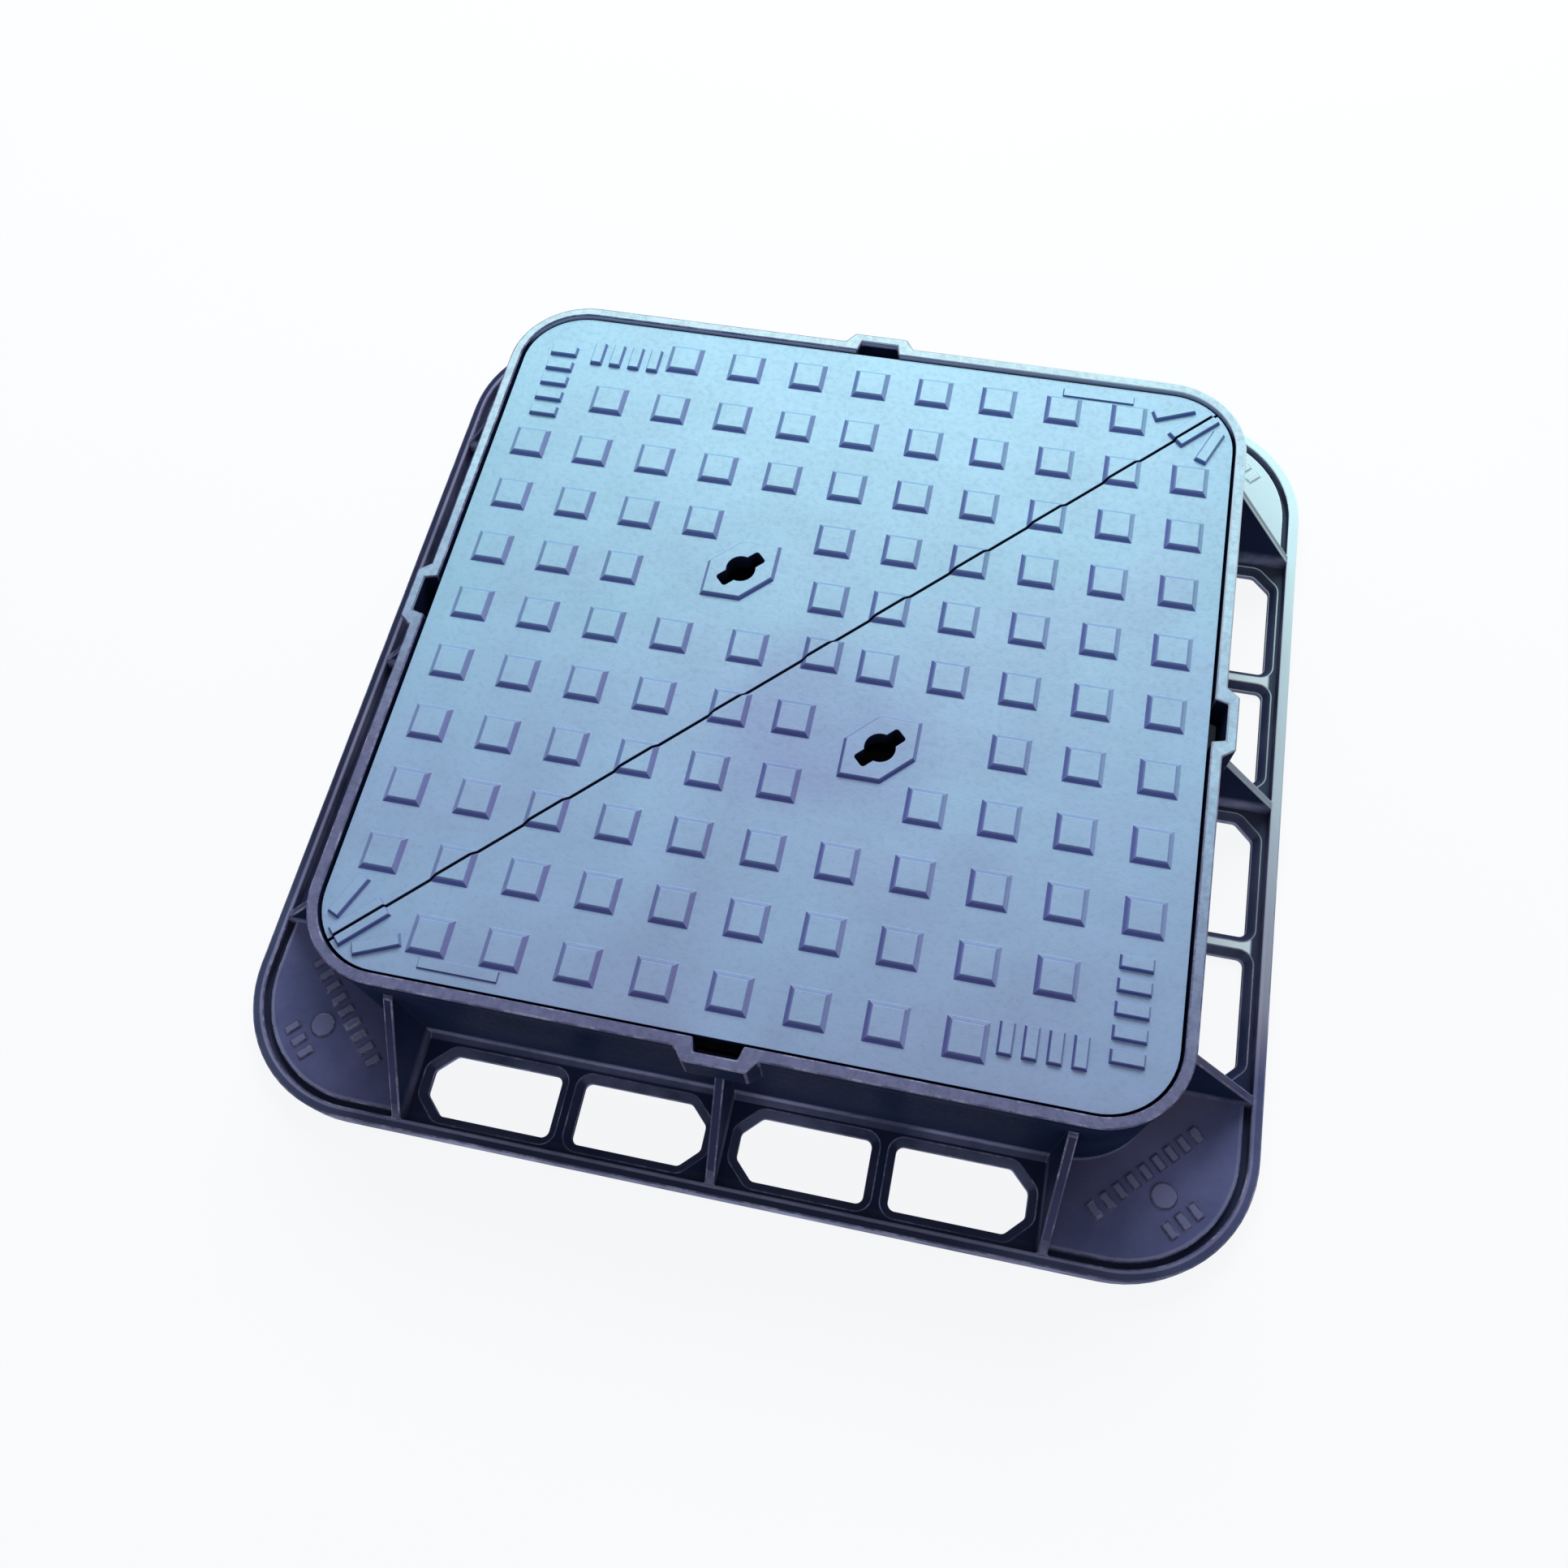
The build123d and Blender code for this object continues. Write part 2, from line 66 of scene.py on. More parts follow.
# light: a wide soft box behind the part, an even sky and a white table that glows
KEY_AZIMUTH = 182.0
KEY_ELEVATION = 42.0
KEY_DISTANCE = 3.0
KEY_SIZE = (2.6, 1.4)
KEY_POWER = 96.0
KEY_COLOUR = (0.88, 0.97, 1.0)
SKY_COLOUR = (0.90, 0.95, 1.0)
SKY_STRENGTH = 0.42
BACKDROP = (0.93, 0.95, 0.96)
FLOOR_HALF = 14.0
FLOOR_CLOUDS = 2.0
FLOOR_TONES = [(0.0, (0.078, 0.079, 0.080)), (1.0, (0.088, 0.089, 0.090))]
FLOOR_ROUGHNESS = 0.95
FLOOR_GLOW = 0.90
FLOOR_GLOW_COLOUR = (0.985, 0.993, 1.0)

# castings: edges are rounded as sand-cast iron is
SHARP_ANGLE = math.radians(24)
FLAT_ANGLE = math.radians(0.6)
MERGE_DISTANCE = 0.00001
EDGE_STEPS = 3
COVER_EDGE = 0.45 * MM
FRAME_EDGE = 1.3 * MM
# less round the windows and on the seat ledge, where faces are narrow
WINDOW_EDGE = 0.6 * MM
WINDOW_ZONE = (334.5 * MM, 398.0 * MM)
WINDOW_TOP = 11.5 * MM
LEDGE_EDGE = 0.4 * MM
LEDGE_ZONE = (30.0 * MM, 90.0 * MM)
POCKET_HALF = 321.5 * MM

# turned parts: M16 coupling bolts, their nuts and washers, and the key cups
COLUMNS = 72
SIXTH_TURN = math.radians(60)
HEX_APOTHEM = 12.0 * MM
HEX_CORNER = HEX_APOTHEM / math.cos(SIXTH_TURN / 2)
HEX_CHAMFER_RADIUS = 11.4 * MM
HEX_CHAMFER_SLOPE = math.tan(math.radians(30))
HEX_CHAMFER_ROWS = 5
HEAD_THICKNESS = 10.0 * MM
WASHER_FACE = 0.4 * MM
THREAD_PITCH = 2.0 * MM
THREAD_DEPTH = 1.1 * MM
THREAD_RADIUS = 7.95 * MM
THREAD_LENGTH = 41.0 * MM
THREAD_STEEPNESS = 1.3
THREAD_CREST = 0.15
ROWS_PER_PITCH = 8
TIP_RADIUS = 6.5 * MM
BORE_RADIUS = 8.1 * MM
BORE_SINK = 0.8 * MM
WASHER_RADII = (8.8 * MM, 15.0 * MM)
WASHER_ROUND = 0.4 * MM
WASHER_BREAK = 0.3 * MM
CUP_RADIUS = 27.5 * MM
CUP_WALL = 2.5 * MM
CUP_HUB = 1.0 * MM
CUP_LIP = 0.4 * MM
# the cup's rounded foot outside, and its rounded corner inside
FOOT_ROUND = 2.6 * MM
FOOT_RISE = 0.7 * MM
FOOT_INSET = 0.9 * MM
CORNER_ROUND = 2.0 * MM
CORNER_STEP = 0.6 * MM

# ------------------------------------------------------------------ looks
# sand-cast relief: how fine each noise is, and how deep
WAVES_SCALE, WAVES_DEPTH = 22.0, 0.5 * MM
PITS_SCALE, PITS_DEPTH = 190.0, 0.2 * MM
GRAIN_SCALE, GRAIN_DEPTH = 620.0, 0.06 * MM
CLOUDS_SCALE = 4.2
# roughness where the coat is smooth, and in its pits
COVER_ROUGHNESS = (0.40, 0.52)
FRAME_ROUGHNESS = (0.38, 0.52)
EDGE_ROUGHNESS = (0.36, 0.55)
FRAME_GLOSS = 0.002

NAVY = (0.006, 0.012, 0.036)
NAVY_LIGHT = (0.014, 0.020, 0.055)
NAVY_PATCHES = [(0.35, 0.0), (0.7, 1.0)]
# lavender-grey of worn and highlit edges: real wear on edges and the pads' blocks, painted highlight on
# edges, by the groove and at the wall's foot
WEAR_AND_HIGHLIGHT_FAINT = (0.07, 0.07, 0.14)
WEAR_AND_HIGHLIGHT_DARK = (0.13, 0.13, 0.23)
WEAR_AND_HIGHLIGHT_LIGHT = (0.38, 0.37, 0.52)

# the cover's pale top coat, with a painted sheen that grows from the front corner to the back, and its
# mottling
COVER_PALE_AND_SHEEN = [(0.0, (0.255, 0.32, 0.51)), (0.3, (0.285, 0.42, 0.62)), (0.6, (0.29, 0.51, 0.67)),
               (1.0, (0.31, 0.58, 0.73))]
COVER_LEAN = -0.24
COVER_PATCH_SCALE = 14.0
COVER_PITTED, COVER_PITTED_BY = [(0.36, 0.86), (0.5, 1.0)], 0.6
COVER_MOTTLED, COVER_MOTTLED_BY = [(0.35, 0.9), (0.6, 1.0)], 0.7
STAIN = (0.85, 0.77, 0.86)
STAIN_AT = Vector((0.022, -0.062, FIELD_TOP))
STAIN_REACH = 0.11
STAIN_UNEVEN = 0.12
STAIN_EDGE_SCALE = 9.0
# painted shade and light on the relief's sides against its top: facing the front, the left and the right,
# each shaded or lit, and lit facing the back
FRONT_SHADE = (0.23, 0.21, 0.55)
LEFT_SHADE_AND_LIGHT = ((0.31, 0.25, 0.52), (0.70, 0.62, 0.76))
RIGHT_SHADE_AND_LIGHT = ((0.62, 0.46, 0.68), (0.94, 0.86, 0.94))
BACK_LIGHT = (0.74, 0.74, 0.78)
# the slopes' upper part carries a lighter painted shade than their foot
SHOULDER_SHADE = (0.62, 0.55, 0.80)
SHOULDER_SHADE_BY = 0.75
SHOULDER_HEIGHT = (FIELD_TOP + 1.7 * MM, FIELD_TOP + 3.2 * MM)
COVER_TOP_HEIGHT = (FIELD_TOP - 4.0 * MM, FIELD_TOP - 1.0 * MM)
# how far a face turns from one look to the next, as parts of its unit normal
TURNS_TO_EDGE = (-0.08, 0.2)
TURNS_RIGHT = (-0.2, 0.2)
TURNS_FORWARD = (0.25, 0.5)
TURNS_BACK = (0.15, 0.5)
COVER_FLAT = (0.84, 0.985)
COVER_NOT_UPRIGHT = (0.05, 0.3)
FRAME_FACES_UP = (0.3, 0.98)
BAR_FLAT = (0.90, 0.98)
EDGE_FACES_UP = (-0.1, 0.4)

# the ring's pale top, with a painted sheen from the front corner to the back
RING_PALE_AND_SHEEN = [(0.0, (0.155, 0.155, 0.28)), (0.25, (0.18, 0.185, 0.31)), (0.45, (0.345, 0.47, 0.63)),
              (0.65, (0.50, 0.71, 0.84)), (1.0, (0.62, 0.82, 0.88))]
RING_LEAN = 0.05
RING_HEIGHT = (140.0 * MM, 146.0 * MM)
RING_PITTED, RING_PITTED_BY = [(0.40, 0.6), (0.58, 1.0)], 0.5
SHEEN_ZONE = (-0.36, 0.38)
SHEEN_CLOUDS = 0.5
# painted light on the frame's coat, dark at the left and front, brightest at the back right corner
FRAME_PAINTED_LIGHT = [(0.0, (0.06, 0.065, 0.15)), (0.22, (0.12, 0.11, 0.20)), (0.4, (0.25, 0.22, 0.32)),
          (0.55, (0.40, 0.42, 0.52)), (0.7, (0.53, 0.63, 0.69)), (1.0, (0.72, 0.95, 0.97))]
PAINTED_LIGHT_LEAN = 1.25
PAINTED_LIGHT_CLOUDS = 0.12
PAINTED_LIGHT_ZONE = (-0.15, 0.82)
EDGE_PAINTED_LIGHT_ZONE = (0.1, 0.7)
GROOVE_PAINTED_LIGHT_ZONE = (0.0, 0.5)
FRAME_PATCH_SCALE = 11.0
# lighter low on the wall, with a painted highlight line at its foot
WALL_LOW, WALL_LOW_BY = (0.045, 0.065, 0.15), 0.2
WALL_LOW_HEIGHT = (30.0 * MM, 110.0 * MM)
FOOT_HIGHLIGHT = (0.40, 0.43, 0.68)
FOOT_HEIGHT = (20.0 * MM, 32.0 * MM)
FOOT_PATCHES = [(0.35, 0.2), (0.62, 0.85)]
# painted light on the back of the ring, a little way down its inner face, where it lies in shade
LIP_PAINTED_LIGHT = (0.38, 0.46, 0.75)
LIP_HEIGHT = (FRAME_TOP - 6.0 * MM, FRAME_TOP - 4.0 * MM)
LIP_BACK = (250.0 * MM, 310.0 * MM)
# how much painted light, and wear on the pads' blocks, the low faces carry, by height
LOW_PAINTED_LIGHT_AND_WEAR = [(0.0095, 0.0), (0.0108, 0.10), (0.012, 0.10), (0.017, 0.95)]
# painted light on the front corner pads, violet where they lie in the cover's shade, and the raised blocks
# on every pad are rubbed
PAD_PAINTED_DIM = (0.09, 0.10, 0.22)
PAD_PAINTED_BRIGHT = (0.17, 0.18, 0.36)
PAD_PATCHES = [(0.3, 0.0), (0.7, 1.0)]
PAD_ZONE = (0.58, 0.66)
PAD_FRONT = (-0.1, 0.1)
BLOCK_RISE = (18.2 * MM, 19.4 * MM)
BLOCK_TOP = (19.8 * MM, 20.6 * MM)
BLOCK_BY = 0.22
# painted light on top of the bars between the right-hand windows
BAR_PAINTED_LIGHT = (0.80, 0.93, 0.95)
BAR_MIDDLE = 127.0 * MM
BAR_WIDTH = (8.4 * MM, 10.5 * MM)
BAR_START = (325.0 * MM, 340.0 * MM)
BAR_END = (393.0 * MM, 396.0 * MM)
# the flange's corners are arcs about points this far along both sides, and the groove runs between two radii
ARC_MIDDLE = 301.0 * MM
GROOVE_INNER = 95.0 * MM
GROOVE_OUTER = 100.0 * MM
# painted highlight lines along both edges of the groove, and painted shade on the rim beyond it at the left
GROOVE_HIGHLIGHT_WIDTH = 2.5 * MM
GROOVE_HIGHLIGHT_SOFTNESS = 1.2 * MM
GROOVE_HIGHLIGHT_PATCHES = [(0.35, 0.25), (0.6, 0.6)]
RIM_SHADE = (0.55, 0.58, 0.53)
# worn edges of the frame: partly real wear and partly painted highlight, with painted light at the back
# right
EDGE_WEAR_AND_HIGHLIGHT_SCALE = 34.0
EDGE_PITTED = [(0.36, 0.8), (0.56, 1.0)]
EDGE_WEAR_AND_HIGHLIGHT = [(0.25, WEAR_AND_HIGHLIGHT_FAINT), (0.45, WEAR_AND_HIGHLIGHT_DARK), (0.66, WEAR_AND_HIGHLIGHT_LIGHT)]

PLASTIC_BLOTCH_SCALE = 60.0
PLASTIC_TONES = [(0.3, (0.008, 0.008, 0.010)), (0.7, (0.02, 0.02, 0.023))]
PLASTIC_ROUGHNESS = [(0.3, 0.5), (0.7, 0.7)]
PLASTIC_GRAIN_SCALE, PLASTIC_GRAIN_DEPTH = 900.0, 0.1 * MM
STEEL_BLOTCH_SCALE = 140.0
STEEL_TONES = [(0.3, (0.30, 0.30, 0.31)), (0.55, (0.46, 0.46, 0.47)), (0.75, (0.52, 0.50, 0.44))]
STEEL_ROUGHNESS = [(0.3, 0.5), (0.7, 0.32)]
STEEL_METALLIC = 0.9
STEEL_GRAIN_SCALE, STEEL_GRAIN_DEPTH = 1400.0, 0.04 * MM


# ------------------------------------------------------------------ shader nodes
class Coat:
    """A material, with the shader nodes that give it its look."""

    def __init__(self, name):
        self.material = bpy.data.materials.new(name)
        self.material.use_nodes = True
        self.nodes = self.material.node_tree.nodes
        self.links = self.material.node_tree.links
        self.shader = self.nodes["Principled BSDF"]
        self.place = self.nodes.new("ShaderNodeTexCoord")
        self.axes = {}

    def feed(self, socket, value):
        """Links an output to a socket, or sets a number or a colour on it."""
        if isinstance(value, bpy.types.NodeSocket):
            self.links.new(value, socket)
        else:
            socket.default_value = (*value, 1.0) if isinstance(value, tuple) else value

    def shade(self, name, value):
        self.feed(self.shader.inputs[name], value)

    def axis(self, source, name):
        if source not in self.axes:
            node = self.nodes.new("ShaderNodeSeparateXYZ")
            self.links.new(self.place.outputs[source], node.inputs["Vector"])
            self.axes[source] = node.outputs
        return self.axes[source][name]

    def at(self, name):
        """Place along one of the part's axes."""
        return self.axis("Object", name)

    def facing(self, name):
        """How far the surface faces along one of the part's axes, -1 to 1."""
        return self.axis("Normal", name)

    def noise(self, scale, detail=4.0, roughness=0.55, distortion=0.0):
        node = self.nodes.new("ShaderNodeTexNoise")
        node.inputs["Scale"].default_value = scale
        node.inputs["Detail"].default_value = detail
        node.inputs["Roughness"].default_value = roughness
        node.inputs["Distortion"].default_value = distortion
        self.links.new(self.place.outputs["Object"], node.inputs["Vector"])
        return node.outputs["Fac"]

    def ramp(self, value, stops):
        node = self.nodes.new("ShaderNodeValToRGB")
        elements = node.color_ramp.elements
        while len(elements) < len(stops):
            elements.new(0.5)
        for element, (position, colour) in zip(elements, stops):
            element.position = position
            element.color = (*colour, 1.0) if isinstance(colour, tuple) else (colour, colour, colour, 1.0)
        self.links.new(value, node.inputs["Fac"])
        return node.outputs["Color"]

    def mix(self, factor, first, second, blend="MIX"):
        node = self.nodes.new("ShaderNodeMix")
        node.data_type = "RGBA"
        node.blend_type = blend
        sockets = {socket.identifier: socket for socket in node.inputs}
        self.feed(sockets["Factor_Float"], factor)
        self.feed(sockets["A_Color"], first)
        self.feed(sockets["B_Color"], second)
        return next(socket for socket in node.outputs if socket.identifier == "Result_Color")

    def tint(self, colour, by, amount=1.0):
        """A colour multiplied by another."""
        return self.mix(amount, colour, by, "MULTIPLY")

    def calculate(self, operation, first, second=0.0):
        node = self.nodes.new("ShaderNodeMath")
        node.operation = operation
        self.feed(node.inputs[0], first)
        self.feed(node.inputs[1], second)
        return node.outputs["Value"]

    def product(self, first, *others):
        for other in others:
            first = self.calculate("MULTIPLY", first, other)
        return first

    def inverse(self, value):
        """1 less the value."""
        return self.calculate("SUBTRACT", 1.0, value)

    def between(self, value, low, high, shape="SMOOTHSTEP"):
        """0 at low, 1 at high."""
        node = self.nodes.new("ShaderNodeMapRange")
        node.interpolation_type = shape
        node.inputs["From Min"].default_value = low
        node.inputs["From Max"].default_value = high
        self.links.new(value, node.inputs["Value"])
        return node.outputs["Result"]

    def band(self, value, rise, fall):
        """0 before the rise, 1 after it, and 0 again after the fall."""
        return self.product(self.between(value, *rise), self.inverse(self.between(value, *fall)))

    def bump(self, *heights):
        """Chains bumps, each a height with its depth in metres."""
        normal = None
        for height, depth in heights:
            node = self.nodes.new("ShaderNodeBump")
            node.inputs["Strength"].default_value = 1.0
            node.inputs["Distance"].default_value = depth
            self.links.new(height, node.inputs["Height"])
            if normal:
                self.links.new(normal, node.inputs["Normal"])
            normal = node.outputs["Normal"]
        self.shade("Normal", normal)


# ------------------------------------------------------------------ what the iron coats share
def iron_surface(coat, smooth, rough):
    """Sand-cast relief under the coat: slow waves, pits and fine grain. Gives back the pits."""
    grain = coat.noise(GRAIN_SCALE, detail=3.0)
    pits = coat.noise(PITS_SCALE, detail=5.0, roughness=0.7)
    waves = coat.noise(WAVES_SCALE, detail=2.0)
    coat.shade("Roughness", coat.ramp(pits, [(0.3, rough), (0.7, smooth)]))
    coat.bump((waves, WAVES_DEPTH), (pits, PITS_DEPTH), (grain, GRAIN_DEPTH))
    return pits


def unevenly(coat, value, clouds, amount):
    """The value, pushed up and down by clouds."""
    return coat.calculate("ADD", value, coat.product(coat.calculate("SUBTRACT", clouds, 0.5), amount))


def across(coat, lean, zone, cloudiness):
    """0 to 1 over the plan from front to back, leaning to the right, with soft clouds."""
    along = coat.calculate("ADD", coat.at("Y"), coat.product(coat.at("X"), lean))
    clouds = coat.noise(CLOUDS_SCALE, detail=3.0, distortion=0.8)
    return coat.between(unevenly(coat, along, clouds, cloudiness), *zone, "LINEAR")


def sheen_front_to_back(coat, lean):
    """0 at the front to 1 at the back, with the given lean: the run of a painted sheen."""
    return across(coat, lean, SHEEN_ZONE, SHEEN_CLOUDS)


def rightward(coat, zone):
    """0 at the left and front to 1 at the back right corner."""
    return across(coat, PAINTED_LIGHT_LEAN, zone, PAINTED_LIGHT_CLOUDS)


def frame_painted_light(coat):
    """Painted light on the frame's coat where it faces up, bright at the back right."""
    return coat.ramp(rightward(coat, PAINTED_LIGHT_ZONE), FRAME_PAINTED_LIGHT)


def turned_forward(coat):
    """1 on faces that face the front."""
    return coat.between(coat.product(coat.facing("Y"), -1.0), *TURNS_FORWARD)


def side_distance(coat, axis):
    """How far from the middle along an axis, either way."""
    return coat.calculate("ABSOLUTE", coat.at(axis))


# ------------------------------------------------------------------ the cover's coat
def stained(coat):
    """1 at the stain's middle, 0 beyond its reach, with an uneven edge."""
    node = coat.nodes.new("ShaderNodeVectorMath")
    node.operation = "DISTANCE"
    coat.feed(node.inputs[0], coat.place.outputs["Object"])
    coat.feed(node.inputs[1], STAIN_AT)
    distance = unevenly(coat, node.outputs["Value"], coat.noise(STAIN_EDGE_SCALE), STAIN_UNEVEN)
    return coat.inverse(coat.between(distance, 0.3 * STAIN_REACH, STAIN_REACH))


def cover_pale_and_sheen(coat, pits, patches):
    """The pale coat of the cover's top, with a painted sheen towards the back, its stain and mottling."""
    # painted sheen: the pale coat turns brighter and more cyan towards the back
    pale = coat.ramp(sheen_front_to_back(coat, COVER_LEAN), COVER_PALE_AND_SHEEN)
    pale = coat.mix(stained(coat), pale, coat.tint(pale, STAIN))
    pale = coat.tint(pale, coat.ramp(pits, COVER_PITTED), COVER_PITTED_BY)
    return coat.tint(pale, coat.ramp(patches, COVER_MOTTLED), COVER_MOTTLED_BY)


def slope_colour(coat, pale):
    """Painted shade and light on the relief's sides: shaded, but painted lit where they face the nearer edge
    or the back.
    """
    brightened = coat.between(coat.product(coat.facing("X"), coat.at("X")), *TURNS_TO_EDGE)
    left, right = (coat.mix(brightened, coat.tint(pale, dark), coat.tint(pale, light_tone))
                   for dark, light_tone in (LEFT_SHADE_AND_LIGHT, RIGHT_SHADE_AND_LIGHT))
    sides = coat.mix(coat.between(coat.facing("X"), *TURNS_RIGHT), left, right)
    sides = coat.mix(turned_forward(coat), sides, coat.tint(pale, FRONT_SHADE))
    return coat.mix(coat.between(coat.facing("Y"), *TURNS_BACK), sides, coat.tint(pale, BACK_LIGHT))


def cover_coat():
    """The cover's coat: pale on top with a painted sheen towards the back, painted shade on the slopes of
    the relief, navy on the sides.
    """
    coat = Coat("cover_coat")
    pits = iron_surface(coat, *COVER_ROUGHNESS)
    patches = coat.noise(COVER_PATCH_SCALE, detail=6.0, roughness=0.6)
    pale = cover_pale_and_sheen(coat, pits, patches)
    # painted shade: lighter on the upper part of the slopes
    shoulder = coat.product(coat.between(coat.at("Z"), *SHOULDER_HEIGHT), SHOULDER_SHADE_BY)
    sides = coat.mix(shoulder, slope_colour(coat, pale), coat.tint(pale, SHOULDER_SHADE))
    raised = coat.mix(coat.between(coat.facing("Z"), *COVER_FLAT), sides, pale)
    dark = coat.mix(patches, NAVY, NAVY_LIGHT)
    # where the pale top coat goes, with its painted sheen and the slopes' painted shade
    pale_mask = coat.product(coat.between(coat.facing("Z"), *COVER_NOT_UPRIGHT),
                         coat.between(coat.at("Z"), *COVER_TOP_HEIGHT))
    coat.shade("Base Color", coat.mix(pale_mask, dark, raised))
    return coat.material


# ------------------------------------------------------------------ the frame's coat
def outward(coat):
    """How far out from the line through the middles of the flange's corner arcs."""
    past = coat.nodes.new("ShaderNodeCombineXYZ")
    for axis in ("X", "Y"):
        beyond = coat.calculate("SUBTRACT", side_distance(coat, axis), ARC_MIDDLE)
        coat.feed(past.inputs[axis], coat.calculate("MAXIMUM", beyond, 0.0))
    length = coat.nodes.new("ShaderNodeVectorMath")
    length.operation = "LENGTH"
    coat.feed(length.inputs[0], past.outputs["Vector"])
    return length.outputs["Value"]


def groove_highlights_and_shade(coat, pale, patches):
    """The coat beside the groove: painted highlight lines along both of its edges and painted shade out on
    the rim, both fading towards the back right.
    """
    out = outward(coat)
    left = coat.inverse(rightward(coat, GROOVE_PAINTED_LIGHT_ZONE))
    inner, outer = GROOVE_INNER - GROOVE_HIGHLIGHT_WIDTH, GROOVE_OUTER + GROOVE_HIGHLIGHT_WIDTH
    beyond = (outer, outer + GROOVE_HIGHLIGHT_SOFTNESS)
    rim = coat.product(left, coat.between(out, *beyond))
    edge = coat.product(coat.band(out, (inner - GROOVE_HIGHLIGHT_SOFTNESS, inner), beyond),
                        coat.ramp(patches, GROOVE_HIGHLIGHT_PATCHES), left)
    pale = coat.mix(rim, pale, coat.tint(pale, RIM_SHADE))
    return coat.mix(edge, pale, WEAR_AND_HIGHLIGHT_LIGHT)


def flange_painted_light_and_wear(coat, patches):
    """The frame's coat low down, where it faces up: painted light, violet on the front pads in the cover's
    shade and bright at the back right, with rubbed blocks.
    """
    corner = coat.calculate("ADD", side_distance(coat, "X"), side_distance(coat, "Y"))
    pad = coat.between(corner, *PAD_ZONE)
    front = coat.between(coat.product(coat.at("Y"), -1.0), *PAD_FRONT)
    # painted light on the front pads, which lie in the cover's shade
    violet = coat.mix(coat.ramp(patches, PAD_PATCHES), PAD_PAINTED_DIM, PAD_PAINTED_BRIGHT)
    pale = coat.mix(coat.product(pad, front), frame_painted_light(coat), violet)
    blocks = coat.product(coat.band(coat.at("Z"), BLOCK_RISE, BLOCK_TOP), pad, BLOCK_BY)
    return groove_highlights_and_shade(coat, coat.mix(blocks, pale, WEAR_AND_HIGHLIGHT_LIGHT), patches)


def bars(coat):
    """1 on top of the bars between the windows of the right-hand side, 0 on the plate."""
    off = coat.calculate("SUBTRACT", side_distance(coat, "Y"), BAR_MIDDLE)
    beside = coat.between(coat.calculate("ABSOLUTE", off), *BAR_WIDTH)
    return coat.product(coat.inverse(beside), coat.band(coat.at("X"), BAR_START, BAR_END),
                        coat.between(coat.facing("Z"), *BAR_FLAT))


def wall_colour(coat, up, patches):
    """Navy-black, lighter low down, with a painted highlight at the foot and painted light on the lip at the
    back.
    """
    height = coat.at("Z")
    forward = turned_forward(coat)
    dark = coat.mix(coat.ramp(patches, NAVY_PATCHES), NAVY, NAVY_LIGHT)
    low = coat.inverse(coat.between(height, *WALL_LOW_HEIGHT))
    dark = coat.mix(coat.product(low, WALL_LOW_BY), dark, WALL_LOW)
    # painted highlight along the wall's foot, brighter on faces turned to the front
    foot = coat.product(coat.inverse(coat.between(height, *FOOT_HEIGHT)), coat.ramp(patches, FOOT_PATCHES),
                        coat.inverse(up))
    dark = coat.mix(foot, dark, coat.mix(forward, WEAR_AND_HIGHLIGHT_DARK, FOOT_HIGHLIGHT))
    # painted light on the ring's lip at the back, where it lies in shade
    lip = coat.product(forward, coat.between(coat.at("Y"), *LIP_BACK), coat.between(height, *LIP_HEIGHT))
    return coat.mix(lip, dark, LIP_PAINTED_LIGHT)


def frame_coat():
    """The frame's coat: navy-black on upright faces, with a pale top and painted sheen on the ring, and
    painted light on the flange.
    """
    coat = Coat("frame_coat")
    coat.shade("Specular IOR Level", FRAME_GLOSS)
    pits = iron_surface(coat, *FRAME_ROUGHNESS)
    patches = coat.noise(FRAME_PATCH_SCALE, detail=6.0, roughness=0.65)
    up = coat.between(coat.facing("Z"), *FRAME_FACES_UP)
    bar = bars(coat)
    # painted light on the low faces and on the bars
    pale_mask = coat.calculate("MAXIMUM", coat.ramp(coat.at("Z"), LOW_PAINTED_LIGHT_AND_WEAR), bar)
    pale = coat.mix(bar, flange_painted_light_and_wear(coat, patches), BAR_PAINTED_LIGHT)
    low = coat.mix(coat.product(up, pale_mask), wall_colour(coat, up, patches), pale)
    # painted sheen on the ring's pale top, growing towards the back
    light_tone = coat.ramp(sheen_front_to_back(coat, RING_LEAN), RING_PALE_AND_SHEEN)
    light_tone = coat.tint(light_tone, coat.ramp(pits, RING_PITTED), RING_PITTED_BY)
    ring = coat.product(up, coat.between(coat.at("Z"), *RING_HEIGHT))
    coat.shade("Base Color", coat.mix(ring, low, light_tone))
    return coat.material


def worn_and_highlit_edge():
    """Worn coat with painted highlight along the frame's outer edges: lavender-grey, broken by darker pits,
    with painted light at the back right.
    """
    coat = Coat("frame_worn_and_highlit_edge")
    coat.shade("Specular IOR Level", FRAME_GLOSS)
    pits = iron_surface(coat, *EDGE_ROUGHNESS)
    edge_breakup = coat.noise(EDGE_WEAR_AND_HIGHLIGHT_SCALE, detail=5.0, roughness=0.7)
    brightened = coat.ramp(coat.product(edge_breakup, coat.ramp(pits, EDGE_PITTED)), EDGE_WEAR_AND_HIGHLIGHT)
    # painted light on the edges towards the back right
    light_tone = coat.mix(rightward(coat, EDGE_PAINTED_LIGHT_ZONE), brightened, frame_painted_light(coat))
    up = coat.between(coat.facing("Z"), *EDGE_FACES_UP)
    coat.shade("Base Color", coat.mix(up, WEAR_AND_HIGHLIGHT_FAINT, light_tone))
    return coat.material


